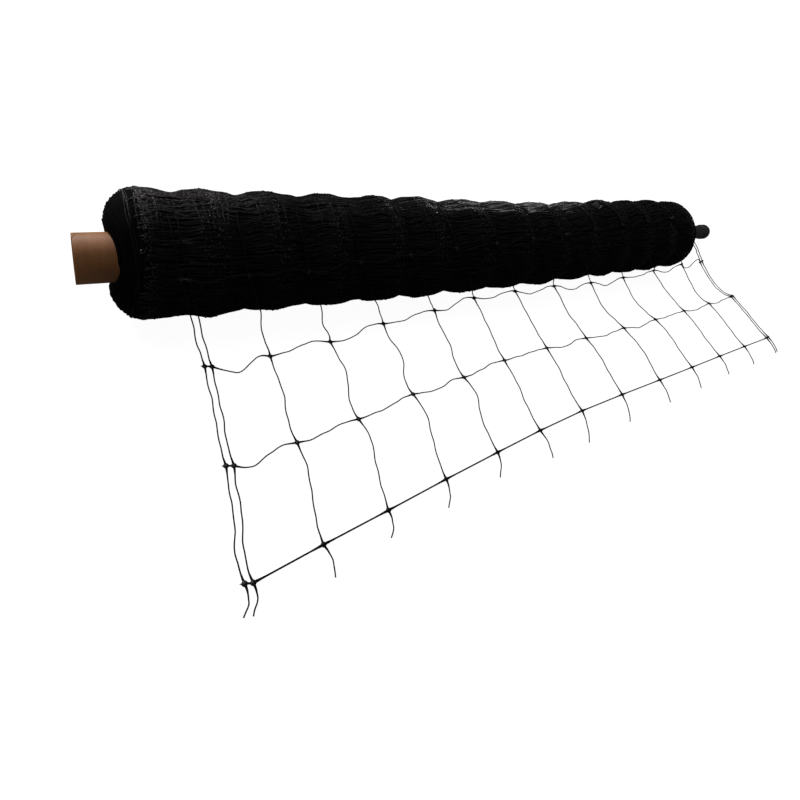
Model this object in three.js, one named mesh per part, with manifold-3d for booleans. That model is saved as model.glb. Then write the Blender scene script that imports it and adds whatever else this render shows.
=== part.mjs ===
// Flower support netting: a long roll of extruded plastic net wound on a card core. It lies on its
// side, and its loose end comes down over the front of the roll and is spread on the floor.
// Millimetres, +Z up. X runs along the roll from its thick end to its thin end, and -Y is the
// front, where the net leaves the roll. The origin is on the floor under the seventh winding.

import * as THREE from 'three';
import { mergeVertices } from 'three/addons/utils/BufferGeometryUtils.js';
import Module from 'manifold-3d';

const wasm = await Module();
wasm.setup();

// Wound roll
const ROLL_RADIUS = 118; // over the windings, at X = 0
const ROLL_TAPER = 0.0112; // radius lost for each mm along +X
const FLOOR_BITE = 2.5; // how far the windings are pressed flat by the floor
const WINDING_LEAN = 6; // how far a winding wanders along X on its way round
const LUMP_WIDE = 1.6; // slow unevenness round the roll
const LUMP_FINE = 1.0;
const ROUND_STEPS = 36;
const STEPS_PER_WINDING = 4;

// Card core, and the plug with a shaft that fills its far end
const CORE_RADIUS = 47;
const CORE_BORE = 40;
const CORE_HEIGHT = 122.8; // of its axis above the floor, at X = 0
const CORE_TILT = 0.0068; // height lost for each mm along +X
const CORE_START = -868;
const CORE_END = 925;
const SEAT_GAP = 0.4;
const PLUG_DEPTH = 60;
const PLUG_RIM = 44;
const RIM_LENGTH = 6;
const SHAFT_RADIUS = 22;
const SHAFT_END = 1072;
const COLLAR_RADIUS = 25;
const COLLAR_LENGTH = 24;

// Loose net
const STRAND = 3; // lengthwise strands, square in section
const ROW_STRAND = 2.8; // crosswise strands
const TAUT_STRAND = 3.4; // the last row, which is drawn straight
const SELVEDGE_GAP = 15; // between the two strands of each side edge
const BAR_WIDTH = 5; // thick bars that join the two edge strands
const BAR_TIP = 9; // how far a bar points out past the edge
const NET_CLEARANCE = 1.2; // between the roll and a strand that lies on it
const CREST_REACH = 25; // a strand on the roll bridges dips within this reach
const TAIL_ANGLE = 14; // length of strand above the top row, in degrees round the roll
const ARC_STEP = 10;
const FALL_STEPS = 3;
const SPAN_STEPS = 6;
const ROW_STEPS = [4, 6, 5, 2]; // stations in each mesh of rows 0 to 3
const TIP_STEPS = 3;
const TIP_CURL = 5; // sideways belly of a cut end
const LANDING_BELLY = 9; // how far a falling strand bows out before the floor
const KNOT_RADIUS = 4.6;
const KNOT_HEIGHT = 4.8;
const KNOT_SIDES = 6;

const BLACK_PLASTIC = { color: 0x0b0b0d, roughness: 0.5, metalness: 0.0 };
const KRAFT_CARD = { color: 0x9a6b43, roughness: 0.85, metalness: 0.0 };
const DARK_PLASTIC = { color: 0x2a2b2d, roughness: 0.55, metalness: 0.0 };

// One row for each wound end: which way it faces, how its shoulder is rounded along the roll and
// inwards, how far its face sinks in beside the core, how far the face is out of true, and the
// hollow below the core, where the net has come away from it.
const ENDS = {
  near: { side: -1, length: 45, depth: 62, dish: 2, warp: 12, hollow: 30 },
  far: { side: 1, length: 40, depth: 43, dish: 6, warp: 2, hollow: 0 },
};
const HOLLOW_ANGLE = -50; // degrees above the front
const WARP_ANGLE = 40; // degrees above the front, where the near face sinks in most
const BULGE_ANGLE = 195; // degrees above the front, where it stands out behind the core

// One row for each winding: its place along the roll, how proud it stands of the taper, the depth of
// the dip that follows it, the dip's skew (below 1 it lies nearer to this winding), and how far its
// net lies off the core's axis towards the back.
const WINDINGS = [
  { at: -760, proud: -5, dip: 6.5, skew: 1.3, bow: 8 },
  { at: -638, proud: 0, dip: 10, skew: 1.05, bow: 4 },
  { at: -511, proud: -1, dip: 9.5, skew: 1.2, bow: 3 },
  { at: -384, proud: 0, dip: 9, skew: 1.1, bow: -1 },
  { at: -250, proud: 1.5, dip: 10, skew: 0.8, bow: -4 },
  { at: -133, proud: 3, dip: 12, skew: 0.9, bow: -6 },
  { at: 0, proud: 1, dip: 8, skew: 0.95, bow: -8 },
  { at: 136, proud: 0, dip: 10, skew: 0.8, bow: -8 },
  { at: 266, proud: -0.5, dip: 13, skew: 0.8, bow: -9 },
  { at: 396, proud: -2, dip: 13, skew: 1.25, bow: -3 },
  { at: 523, proud: 0.5, dip: 12.5, skew: 0.9, bow: 2 },
  { at: 642, proud: -1, dip: 12, skew: 0.8, bow: 3.5 },
  { at: 753, proud: 0.5, dip: 12, skew: 0.85, bow: 5.5 },
  { at: 868, proud: -4, dip: 0, skew: 1, bow: 5 },
];

// One row for each lengthwise strand: its crossing with row 0 on the roll (place and degrees above
// the front), with row 1 (place and height) and with rows 2 and 3 on the floor.
const COLUMNS = [
  { x0: -690, rise: 25, x1: -650, y1: -190, z1: 4, x2: -655, y2: -400, x3: -670, y3: -600 },
  { x0: -583, rise: 27, x1: -530, y1: -186, z1: 5, x2: -530, y2: -384, x3: -540, y3: -578 },
  { x0: -463, rise: 28, x1: -390, y1: -174, z1: 9, x2: -390, y2: -364, x3: -400, y3: -556 },
  { x0: -348, rise: 36, x1: -248, y1: -150, z1: 18, x2: -243, y2: -334, x3: -254, y3: -532 },
  { x0: -227, rise: 41, x1: -102, y1: -138, z1: 30, x2: -93, y2: -318, x3: -104, y3: -509 },
  { x0: -105, rise: 46, x1: 21, y1: -124, z1: 45, x2: 47, y2: -294, x3: 38, y3: -488 },
  { x0: 17, rise: 50, x1: 160, y1: -120, z1: 50, x2: 202, y2: -281, x3: 193, y3: -469 },
  { x0: 140, rise: 54, x1: 306, y1: -119, z1: 52, x2: 360, y2: -273, x3: 356, y3: -455 },
  { x0: 262, rise: 58, x1: 458, y1: -120, z1: 50, x2: 530, y2: -262, x3: 527, y3: -442 },
  { x0: 385, rise: 62, x1: 601, y1: -117, z1: 55, x2: 689, y2: -252, x3: 692, y3: -429 },
  { x0: 507, rise: 66, x1: 743, y1: -110, z1: 66, x2: 849, y2: -238, x3: 850, y3: -416 },
  { x0: 630, rise: 70, x1: 864, y1: -112, z1: 88, x2: 1004, y2: -226, x3: 1004, y3: -404 },
  { x0: 750, rise: 74, x1: 965, y1: -112, z1: 90, x2: 1152, y2: -214, x3: 1154, y3: -393 },
];

// One row for each lengthwise strand: its bends towards +X between rows 1 and 2 and between rows 2
// and 3 (one belly, an S, and a double S), and where its cut end lies from row 3.
const COLUMN_BENDS = [
  { belly1: -1, ess1: 1, double1: -1, belly2: -3, ess2: 3, double2: -2, tipX: -12, tipY: -47 },
  { belly1: 1, ess1: 3, double1: -2, belly2: 4, ess2: 4, double2: 0, tipX: 2, tipY: -57 },
  { belly1: 7, ess1: 6, double1: -3, belly2: 9, ess2: 5, double2: 2, tipX: -13, tipY: -48 },
  { belly1: 9, ess1: 3, double1: -6, belly2: 9, ess2: 6, double2: 1, tipX: -21, tipY: -54 },
  { belly1: 4, ess1: 1, double1: -3, belly2: 5, ess2: 8, double2: 3, tipX: -24, tipY: -52 },
  { belly1: 11, ess1: 1, double1: 0, belly2: 2, ess2: 3, double2: 0, tipX: -6, tipY: -68 },
  { belly1: 13, ess1: 0, double1: 1, belly2: 1, ess2: 3, double2: 0, tipX: -34, tipY: -78 },
  { belly1: 11, ess1: -2, double1: 3, belly2: 8, ess2: 3, double2: 1, tipX: -30, tipY: -73 },
  { belly1: 0, ess1: -2, double1: 3, belly2: 14, ess2: 2, double2: -1, tipX: -18, tipY: -68 },
  { belly1: 0, ess1: -1, double1: 2, belly2: 9, ess2: 4, double2: 1, tipX: -24, tipY: -66 },
  { belly1: 20, ess1: -2, double1: 1, belly2: 4, ess2: 3, double2: 1, tipX: -20, tipY: -62 },
  { belly1: 17, ess1: 4, double1: 1, belly2: 3, ess2: 3, double2: 0, tipX: -22, tipY: -64 },
  { belly1: 12, ess1: 3, double1: 0, belly2: 2, ess2: 2, double2: 0, tipX: -16, tipY: -58 },
];

// One row for each mesh across the net: how its crosswise strands bend towards the front in row 0 (a
// belly and an S) and in rows 1 and 2 (a belly, an S and a double S). Row 3 is straight.
const ROW_BENDS = [
  [[3, 5], [16, 10, -4], [5, 9, 1], [0, 0]],
  [[-2, 4], [-8, 5, 0], [0, 4, 0], [0, 0]],
  [[2, 6], [1, 8, -1], [2, 2, -1], [0, 0]],
  [[4, 3], [1, 5, -1], [4, 4, -2], [0, 0]],
  [[-3, 5], [1, 9, -1], [-3, 3, 0], [0, 0]],
  [[2, 4], [6, 5, -2], [-1, 1, 0], [0, 0]],
  [[0, 6], [12, 5, -3], [5, 4, -2], [0, 0]],
  [[3, 4], [14, 1, -5], [6, 1, -1], [0, 0]],
  [[-2, 5], [15, 1, -5], [8, 2, -2], [0, 0]],
  [[1, 4], [8, 1, -1], [1, 1, 0], [0, 0]],
  [[2, 5], [10, 1, -2], [7, 2, -1], [0, 0]],
  [[0, 4], [-1, 11, -3], [3, 3, 0], [0, 0]],
];

const UP = new THREE.Vector3(0, 0, 1);
const FIRST = WINDINGS[0];
const LAST = WINDINGS[WINDINGS.length - 1];
const FLOOR_HEIGHT = STRAND / 2;
const FAR_COLUMN = COLUMNS.length - 1;
const radians = THREE.MathUtils.degToRad;
const { lerp } = THREE.MathUtils;

const taperRadius = (x) => ROLL_RADIUS - ROLL_TAPER * x;
const axisHeight = (x) => taperRadius(x) - FLOOR_BITE;
const coreHeight = (x) => CORE_HEIGHT - CORE_TILT * x;

// Closed mesh to solid, and solid back to a mesh geometry.
function toSolid(geometry) {
  const bare = geometry.clone();
  bare.deleteAttribute('normal');
  bare.deleteAttribute('uv');
  const merged = mergeVertices(bare, 1e-4);
  return new wasm.Manifold(new wasm.Mesh({
    numProp: 3,
    vertProperties: new Float32Array(merged.attributes.position.array),
    triVerts: new Uint32Array(merged.index.array),
  }));
}

function toGeometry(solid) {
  const { vertProperties, triVerts } = solid.getMesh();
  return indexedGeometry(Array.from(vertProperties), Array.from(triVerts));
}

function indexedGeometry(positions, indices) {
  const geometry = new THREE.BufferGeometry();
  geometry.setAttribute('position', new THREE.Float32BufferAttribute(positions, 3));
  geometry.setIndex(indices);
  geometry.computeVertexNormals();
  return geometry;
}

function namedMesh(name, geometry, finish) {
  const mesh = new THREE.Mesh(geometry, new THREE.MeshStandardMaterial(finish));
  mesh.name = name;
  return mesh;
}

// Radius over the windings and dips at a place along the roll, with rounded ends.
function windingRadius(x) {
  const overrun = Math.max(FIRST.at - x, x - LAST.at);
  if (overrun >= 0) {
    const [winding, end] = x < 0 ? [FIRST, ENDS.near] : [LAST, ENDS.far];
    const reach = Math.min(overrun / end.length, 1);
    return taperRadius(winding.at) + winding.proud - end.depth * (1 - Math.sqrt(1 - reach * reach));
  }
  const k = WINDINGS.findIndex((winding) => winding.at > x) - 1;
  const t = (x - WINDINGS[k].at) / (WINDINGS[k + 1].at - WINDINGS[k].at);
  const crest = taperRadius(x) + lerp(WINDINGS[k].proud, WINDINGS[k + 1].proud, t);
  const { dip, skew } = WINDINGS[k];
  return crest - dip * (1 - Math.abs(Math.cos(Math.PI * t ** skew)));
}

const lumps = (x, angle) => LUMP_WIDE * Math.sin(2 * angle + x / 260)
  + LUMP_FINE * Math.sin(3 * angle - x / 170);
const rollRadius = (x, angle) => windingRadius(x) + lumps(x, angle);

// How an end face is out of true round the core, as a share of the end's warp.
const faceWarp = (angle) => Math.cos(2 * (angle - radians(WARP_ANGLE)))
  - Math.max(Math.cos(angle - radians(BULGE_ANGLE)), 0) ** 6;

// How far the wound net lies off the core's axis, towards the back.
function bow(x) {
  const k = WINDINGS.findIndex((winding) => winding.at > x);
  if (k < 1) return k < 0 ? LAST.bow : FIRST.bow;
  const [here, next] = [WINDINGS[k - 1], WINDINGS[k]];
  return lerp(here.bow, next.bow, (x - here.at) / (next.at - here.at));
}

// A point round the roll. Its middle is the roll's own with a share of 1, and the core's with 0. The
// angle starts at the front and rises over the top.
function aroundAxis(x, angle, radius, share = 1) {
  const height = lerp(coreHeight(x), axisHeight(x), share);
  return new THREE.Vector3(x, share * bow(x) - radius * Math.cos(angle), height + radius * Math.sin(angle));
}

// Sections along the roll, from the core at the near face, over the windings, to the far face. Each
// has its share of the roll's middle, of the lumps, of the lean and of the warped and hollow end.
function endSections(winding, end) {
  const bore = CORE_RADIUS + SEAT_GAP;
  const face = winding.at + end.side * end.length;
  const rim = taperRadius(winding.at) + winding.proud - end.depth;
  const roundings = [0, 30, 60].map(radians);
  return [
    {
      x: face - end.side * end.dish,
      radius: bore,
      share: 0,
      lump: 0,
      lean: 0,
      warp: end.warp * 0.3,
      hollow: end.hollow,
    },
    {
      x: face,
      radius: lerp(bore, rim, 0.5),
      share: 0.5,
      lump: 0,
      lean: 0,
      warp: end.warp * 0.65,
      hollow: end.hollow * 0.4,
    },
    ...roundings.map((angle) => ({
      x: winding.at + end.side * end.length * Math.cos(angle),
      radius: rim + end.depth * Math.sin(angle),
      share: 1,
      lump: Math.sin(angle),
      lean: 0,
      warp: end.warp * Math.cos(angle),
      hollow: 0,
    })),
  ];
}

function rollSections() {
  const body = [];
  for (let k = 0; k < WINDINGS.length - 1; k += 1) {
    for (let step = 0; step < STEPS_PER_WINDING; step += 1) {
      const x = lerp(WINDINGS[k].at, WINDINGS[k + 1].at, step / STEPS_PER_WINDING);
      const lean = Math.sin((Math.PI * (x - FIRST.at)) / (LAST.at - FIRST.at));
      body.push({ x, radius: windingRadius(x), share: 1, lump: 1, lean, warp: 0, hollow: 0 });
    }
  }
  const edge = { share: 1, lump: 1, lean: 0, warp: 0, hollow: 0 };
  body.push({ x: LAST.at, radius: windingRadius(LAST.at), ...edge });
  return [...endSections(FIRST, ENDS.near), ...body, ...endSections(LAST, ENDS.far).reverse()];
}

// The roll is one closed ring of sections, so its last and first sections bound the core's bore.
function makeRoll() {
  const positions = [];
  const indices = [];
  const sections = rollSections();
  sections.forEach(({ x, radius, share, lump, lean, warp, hollow }) => {
    for (let step = 0; step < ROUND_STEPS; step += 1) {
      const angle = (2 * Math.PI * step) / ROUND_STEPS;
      const wander = lean * WINDING_LEAN * Math.sin(angle);
      const outOfTrue = warp * faceWarp(angle);
      const sunk = hollow * Math.max(Math.cos(angle - radians(HOLLOW_ANGLE)), 0) ** 2;
      const place = x - wander + outOfTrue + sunk;
      const point = aroundAxis(place, angle, radius + lump * lumps(x, angle), share);
      positions.push(point.x, point.y, point.z);
    }
  });
  sections.forEach((section, i) => {
    const here = i * ROUND_STEPS;
    const next = ((i + 1) % sections.length) * ROUND_STEPS;
    for (let step = 0; step < ROUND_STEPS; step += 1) {
      const turn = (step + 1) % ROUND_STEPS;
      indices.push(here + step, next + step, here + turn);
      indices.push(next + step, next + turn, here + turn);
    }
  });
  const depth = 60;
  const belowFloor = new THREE.BoxGeometry(3000, 800, depth).translate(0, 0, -depth / 2);
  const pressed = toSolid(indexedGeometry(positions, indices)).subtract(toSolid(belowFloor));
  return namedMesh('roll', toGeometry(pressed), BLACK_PLASTIC);
}

// Turned pieces share the core's axis: each profile point is a radius and a place along it.
function turned(name, profile, finish) {
  const points = profile.map(([radius, along]) => new THREE.Vector2(radius, along));
  const mesh = namedMesh(name, new THREE.LatheGeometry(points, ROUND_STEPS), finish);
  mesh.rotation.z = -Math.PI / 2;
  return mesh;
}

function makeCore() {
  return turned('core', [
    [CORE_BORE, CORE_START],
    [CORE_RADIUS, CORE_START],
    [CORE_RADIUS, CORE_END],
    [CORE_BORE, CORE_END],
    [CORE_BORE, CORE_START],
  ], KRAFT_CARD);
}

function makePlug() {
  const fit = CORE_BORE - SEAT_GAP;
  const rimStart = CORE_END + SEAT_GAP;
  const collarStart = SHAFT_END - COLLAR_LENGTH;
  return turned('core_plug', [
    [0, CORE_END - PLUG_DEPTH],
    [fit, CORE_END - PLUG_DEPTH],
    [fit, rimStart],
    [PLUG_RIM, rimStart],
    [PLUG_RIM, rimStart + RIM_LENGTH],
    [SHAFT_RADIUS, rimStart + RIM_LENGTH],
    [SHAFT_RADIUS, collarStart],
    [COLLAR_RADIUS, collarStart],
    [COLLAR_RADIUS, SHAFT_END],
    [0, SHAFT_END],
  ], DARK_PLASTIC);
}

// Lay of a strand on the roll: it bears on the proudest winding within its reach, and past the
// last winding it stays at that one's height.
function layRadius(x, angle) {
  const seat = Math.min(x, LAST.at);
  const near = [-CREST_REACH, 0, CREST_REACH].map((reach) => rollRadius(seat + reach, angle));
  return Math.max(...near) + NET_CLEARANCE + FLOOR_HEIGHT;
}

const onRoll = (x, angle) => aroundAxis(x, angle, layRadius(x, angle));

// Outward direction of the draped net: away from the roll where it is high, up on the floor.
function outward(point) {
  const away = new THREE.Vector3(0, point.y, point.z - axisHeight(point.x)).normalize();
  const height = THREE.MathUtils.smoothstep(point.z, 6, 70);
  return away.multiplyScalar(height).addScaledVector(UP, 1 - height).normalize();
}

// Closed four-sided strand through its stations, level where it lies on the floor.
function strandSolid(points, width, height) {
  const positions = [];
  const indices = [];
  const corners = [[-1, -1], [1, -1], [1, 1], [-1, 1]];
  points.forEach((point, i) => {
    const before = points[Math.max(i - 1, 0)];
    const after = points[Math.min(i + 1, points.length - 1)];
    const along = after.clone().sub(before).normalize();
    const side = new THREE.Vector3().crossVectors(outward(point), along).normalize();
    const out = new THREE.Vector3().crossVectors(along, side);
    corners.forEach(([s, o]) => {
      const corner = point.clone();
      corner.addScaledVector(side, (s * width) / 2).addScaledVector(out, (o * height) / 2);
      positions.push(corner.x, corner.y, corner.z);
    });
  });
  const sides = corners.length;
  for (let i = 0; i < points.length - 1; i += 1) {
    for (let c = 0; c < sides; c += 1) {
      const here = i * sides + c;
      const turn = i * sides + ((c + 1) % sides);
      indices.push(here, turn, here + sides);
      indices.push(turn, turn + sides, here + sides);
    }
  }
  const end = (points.length - 1) * sides;
  indices.push(0, 2, 1, 0, 3, 2);
  indices.push(end, end + 1, end + 2, end, end + 2, end + 3);
  return toSolid(indexedGeometry(positions, indices));
}

const bend = (t, belly, ess, double = 0) => belly * Math.sin(Math.PI * t)
  + ess * Math.sin(2 * Math.PI * t) + double * Math.sin(3 * Math.PI * t);

const knotOnRow = (column, row) => [
  onRoll(column.x0, radians(column.rise)),
  new THREE.Vector3(column.x1, column.y1, column.z1),
  new THREE.Vector3(column.x2, column.y2, FLOOR_HEIGHT),
  new THREE.Vector3(column.x3, column.y3, FLOOR_HEIGHT),
][row];

// Angle where a straight line from row 1 touches the roll.
function liftAngle(column) {
  const radius = layRadius(column.x1, 0);
  const front = bow(column.x1) - column.y1;
  const drop = column.z1 - axisHeight(column.x1);
  return Math.atan2(drop, front) + Math.acos(Math.min(radius / Math.hypot(front, drop), 1));
}

// The part of a lengthwise strand that lies on the roll and then falls clear to row 1. Above row 0
// it has a short tail, and from there it drifts along X in step with its length.
function fallingPoints(column) {
  const start = radians(column.rise);
  const lift = Math.min(liftAngle(column), start - 0.02);
  const knot = knotOnRow(column, 1);
  const arcLength = (start - lift) * layRadius(column.x0, lift);
  const share = arcLength / (arcLength + onRoll(column.x1, lift).distanceTo(knot));
  const steps = Math.ceil((start - lift) / radians(ARC_STEP));
  const points = [1, 0.5].map((tail) => onRoll(column.x0, start + tail * radians(TAIL_ANGLE)));
  for (let step = 0; step <= steps; step += 1) {
    const t = step / steps;
    points.push(onRoll(lerp(column.x0, column.x1, share * t), lerp(start, lift, t)));
  }
  const leaving = points[points.length - 1];
  for (let step = 1; step < FALL_STEPS; step += 1) {
    const t = step / FALL_STEPS;
    const point = leaving.clone().lerp(knot, t);
    point.y -= LANDING_BELLY * t * Math.sin(Math.PI * t);
    points.push(point);
  }
  return points;
}

// From row 1 the strand settles on the floor, runs to row 3 and ends in a curled cut end.
function floorPoints(column, bends) {
  const [, one, two, three] = [0, 1, 2, 3].map((row) => knotOnRow(column, row));
  const points = [];
  for (let step = 0; step < SPAN_STEPS; step += 1) {
    const t = step / SPAN_STEPS;
    const point = one.clone().lerp(two, t);
    point.x += bend(t, bends.belly1, bends.ess1, bends.double1);
    point.z = Math.max(FLOOR_HEIGHT, column.z1 * (1 - t) ** 2);
    points.push(point);
  }
  for (let step = 0; step < SPAN_STEPS; step += 1) {
    const t = step / SPAN_STEPS;
    const point = two.clone().lerp(three, t);
    point.x += bend(t, bends.belly2, bends.ess2, bends.double2);
    points.push(point);
  }
  for (let step = 0; step <= TIP_STEPS; step += 1) {
    const t = step / TIP_STEPS;
    const curl = TIP_CURL * Math.sin(Math.PI * t);
    points.push(three.clone().add(new THREE.Vector3(bends.tipX * t + curl, bends.tipY * t, 0)));
  }
  return points;
}

function columnPoints(index) {
  return [
    ...fallingPoints(COLUMNS[index]),
    ...floorPoints(COLUMNS[index], COLUMN_BENDS[index]),
  ];
}

// A crosswise strand, knot to knot. Where it hangs, its bends fall down the drape as well.
function rowPoints(row) {
  const steps = ROW_STEPS[row];
  const points = [];
  for (let k = 0; k < FAR_COLUMN; k += 1) {
    const from = knotOnRow(COLUMNS[k], row);
    const to = knotOnRow(COLUMNS[k + 1], row);
    for (let step = 0; step < steps; step += 1) {
      const t = step / steps;
      const slack = bend(t, ...ROW_BENDS[k][row]);
      if (row === 0) {
        const angle = radians(lerp(COLUMNS[k].rise, COLUMNS[k + 1].rise, t));
        points.push(onRoll(lerp(from.x, to.x, t), angle - slack / ROLL_RADIUS));
      } else {
        const point = from.clone().lerp(to, t);
        const hang = THREE.MathUtils.clamp(point.z / 60, 0, 1);
        point.y -= slack * (1 - 0.6 * hang);
        point.z = Math.max(FLOOR_HEIGHT, point.z - slack * 0.8 * hang);
        points.push(point);
      }
    }
  }
  points.push(knotOnRow(COLUMNS[FAR_COLUMN], row));
  return points.map((point) => (point.z === FLOOR_HEIGHT ? point.setZ(ROW_STRAND / 2) : point));
}

// Edge strands run beside the outer columns, and thick bars join each pair at every row.
const edgeShift = (side) => new THREE.Vector3(side * SELVEDGE_GAP, 0, 0);

function edgeStrand(index, side) {
  return columnPoints(index).map((point) => point.add(edgeShift(side)));
}

function edgeBar(index, row, side) {
  const inner = knotOnRow(COLUMNS[index], row);
  const outer = inner.clone().add(edgeShift(side));
  const tip = outer.clone().add(new THREE.Vector3(side * BAR_TIP, 0, 0));
  return strandSolid([inner, outer, tip], BAR_WIDTH, STRAND);
}

function knotSolid(point) {
  const profile = [[0, 0], [1, 0], [0.74, 0.74], [0, 1]];
  const dome = new THREE.LatheGeometry(
    profile.map(([r, h]) => new THREE.Vector2(r * KNOT_RADIUS, h * KNOT_HEIGHT)),
    KNOT_SIDES,
  );
  const out = outward(point);
  const seat = point.clone().addScaledVector(out, -FLOOR_HEIGHT);
  const turn = new THREE.Quaternion().setFromUnitVectors(new THREE.Vector3(0, 1, 0), out);
  dome.applyQuaternion(turn).translate(seat.x, seat.y, seat.z);
  return toSolid(dome);
}

function makeLooseNet() {
  const solids = COLUMNS.map((column, index) => strandSolid(columnPoints(index), STRAND, STRAND));
  const rows = [0, 1, 2, 3];
  rows.forEach((row) => {
    const width = row === 3 ? TAUT_STRAND : ROW_STRAND;
    solids.push(strandSolid(rowPoints(row), width, ROW_STRAND));
    COLUMNS.forEach((column) => solids.push(knotSolid(knotOnRow(column, row))));
  });
  [[0, -1], [FAR_COLUMN, 1]].forEach(([index, side]) => {
    solids.push(strandSolid(edgeStrand(index, side), STRAND, STRAND));
    rows.forEach((row) => {
      solids.push(edgeBar(index, row, side));
      solids.push(knotSolid(knotOnRow(COLUMNS[index], row).add(edgeShift(side))));
    });
  });
  const net = solids.reduce((joined, solid) => joined.add(solid));
  return namedMesh('loose_net', toGeometry(net), BLACK_PLASTIC);
}

const axle = new THREE.Group();
axle.position.set(0, 0, CORE_HEIGHT);
axle.rotation.y = Math.atan(CORE_TILT);
axle.add(makeCore(), makePlug());

const netting = new THREE.Group();
netting.add(makeRoll(), axle, makeLooseNet());

export default netting;
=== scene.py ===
"""Flower support netting: a roll of black plastic net on a card core, with its loose end spread out."""

import math
from collections import namedtuple

import bpy
import numpy as np
from mathutils import Matrix, Vector


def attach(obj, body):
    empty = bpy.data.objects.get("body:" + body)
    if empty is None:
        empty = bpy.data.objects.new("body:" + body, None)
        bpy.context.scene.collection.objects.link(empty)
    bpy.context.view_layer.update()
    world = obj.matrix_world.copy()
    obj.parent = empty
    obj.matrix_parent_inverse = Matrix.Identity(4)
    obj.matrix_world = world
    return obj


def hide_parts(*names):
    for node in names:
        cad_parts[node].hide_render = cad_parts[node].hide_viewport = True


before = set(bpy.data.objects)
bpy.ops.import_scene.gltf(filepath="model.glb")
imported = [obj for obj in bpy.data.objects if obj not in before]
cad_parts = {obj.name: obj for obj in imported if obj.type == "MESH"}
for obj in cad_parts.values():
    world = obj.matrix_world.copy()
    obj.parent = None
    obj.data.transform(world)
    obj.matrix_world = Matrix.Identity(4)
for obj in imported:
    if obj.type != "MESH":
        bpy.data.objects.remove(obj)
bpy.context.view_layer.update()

# Sizes are in millimetres, as in the part's source, and are turned into metres where a mesh is made.
MM = 0.001
WHOLE_TURN = 2 * math.pi
QUARTER_TURN = math.pi / 2

# Wound roll
ROLL_RADIUS = 118.0  # over the windings, at X = 0
ROLL_TAPER = 0.0112  # radius lost for each mm along +X
FLOOR_BITE = 2.5  # how far the windings are pressed flat by the floor
WINDING_LEAN = 6.0  # how far a winding wanders along X on its way round
NEAR_HEAP = 5.0  # height of the net heaped up on top of the thick end
NEAR_HEAP_LENGTH = 30.0
NEAR_HEAP_TURN = 0.3  # how far the heap lies behind the top, in radians
WARP_ANGLE = math.radians(40)  # above the front, where the near face sinks in most
BULGE_ANGLE = math.radians(195)  # above the front, where it stands out behind the core
BULGE_POWER = 6  # a higher power makes a narrower bulge
HOLLOW_ANGLE = math.radians(-50)  # above the front, where the net has come away from the core

# Dark mass of wound net under the strands that show
MASS_SINK = 2.2  # below the wound surface
MASS_FLOOR = 0.3  # its least height above the floor
MASS_SIDES = 144
STEPS_PER_WINDING = 12
ROUNDING_STEPS = 8
FACE_SHARES = (0.0, 0.3, 0.65)  # rings of an end face, from the bore towards the rim
FACE_WARP_AT_BORE = 0.3  # share of an end's warp that is left at the bore
BORE_GAP = 0.3  # between the core and the mass
MERGE_DISTANCE = 0.02

# Turns of strand on the roll. A swing is a size with a number of waves round the roll, a range has a
# lowest and a highest value, a scatter is a standard deviation, and a thickness is a share of the
# strand's.
WOUND_STRAND = 2.2
TURN_STEPS = 60
BANDS_PER_WINDING = 12
BAND_SCATTER = 17.0
BAND_REACH = 40.0  # the farthest that a band's middle lies from its winding
BAND_SWINGS = ((5.0, 1), (3.0, 2), (1.4, 5))
BAND_LIFT_RANGE = (-1.6, 0.2)
BAND_LIFT_SWINGS = ((1.1, 3),)
BAND_THICKNESS_RANGE = (0.65, 0.9)
EDGE_LOOPS = 22
EDGE_LOOP_REACH = 74.0  # of the loop that lies farthest over a wound end
EDGE_HEAP = (8.0, 11.0)  # mean reach of the heaped loops, and its scatter
EDGE_SWINGS = ((3.0, 1), (2.0, 3))
EDGE_LIFT_RANGE = (-2.7, -1.6)
EDGE_LIFT_SWINGS = ((0.5, 4),)
EDGE_THICKNESS_RANGE = (0.7, 1.0)

# Edge bars of the wound net. Some at the thick end lie on the top layer's edge, which was wound short.
EDGE_BARS = 260
BAR_REACH = (12.0, 7.0)  # mean reach of a bar's tip over a wound end, and its scatter
BAR_REACH_RANGE = (-10.0, 24.0)
SHORT_EDGE_REACH = (-50.0, 15.0)
SHORT_EDGE_BARS = (2, 5)  # two in every five
BAR_TURN = 0.035  # scatter of a bar's slant, in radians round the roll
BAR_LIFT_RANGE = (-2.2, 0.6)

# Crosswise strands of the wound net
WOUND_ROWS = 300
ROW_STEPS_PER_WINDING = 12
ROW_JITTER = 0.4  # of a row's start, as a share of the rows' spacing
ROW_DRIFT = 0.016  # scatter from winding to winding, in radians round the roll
ROW_KNOT_SCATTER = 13.0  # of a knot along the roll
END_KNOT_SCATTER = 8.0  # of a row's two ends
ROW_LIFT_RANGE = (-1.7, 0.9)
ROW_BEND = (0.022, 0.018)  # scatter of the belly and of the S between knots, in radians
ROW_THICKNESS = 0.9
ROW_RIPPLE = 2.6
ROW_RIPPLE_LENGTH = 52.0
RIPPLE_SHIFT = 6  # for each radian round the roll, so that neighbouring rows ripple nearly in step
RIPPLE_JITTER = 0.5
WOUND_KNOT = (3.6, 2.2, 1.7)  # half sizes round the roll, along it and outwards
WOUND_KNOT_RAISED = 0.4

# Stray slack lengths
STRAY_STRANDS = 70
STRAY_POINTS = 18
STRAY_CLEAR = (20.0, 230.0)  # least distance of its start from the first and the last winding
STRAY_LENGTH_RANGE = (60.0, 210.0)
STRAY_TURN = 0.14  # scatter of its slant, in radians
STRAY_BEND = 0.03
STRAY_SINK = 2.5  # of its two ends
STRAY_RISE_RANGE = (3.2, 5.0)
STRAY_ROUNDING = 0.6  # a lower power makes a flatter top

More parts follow.
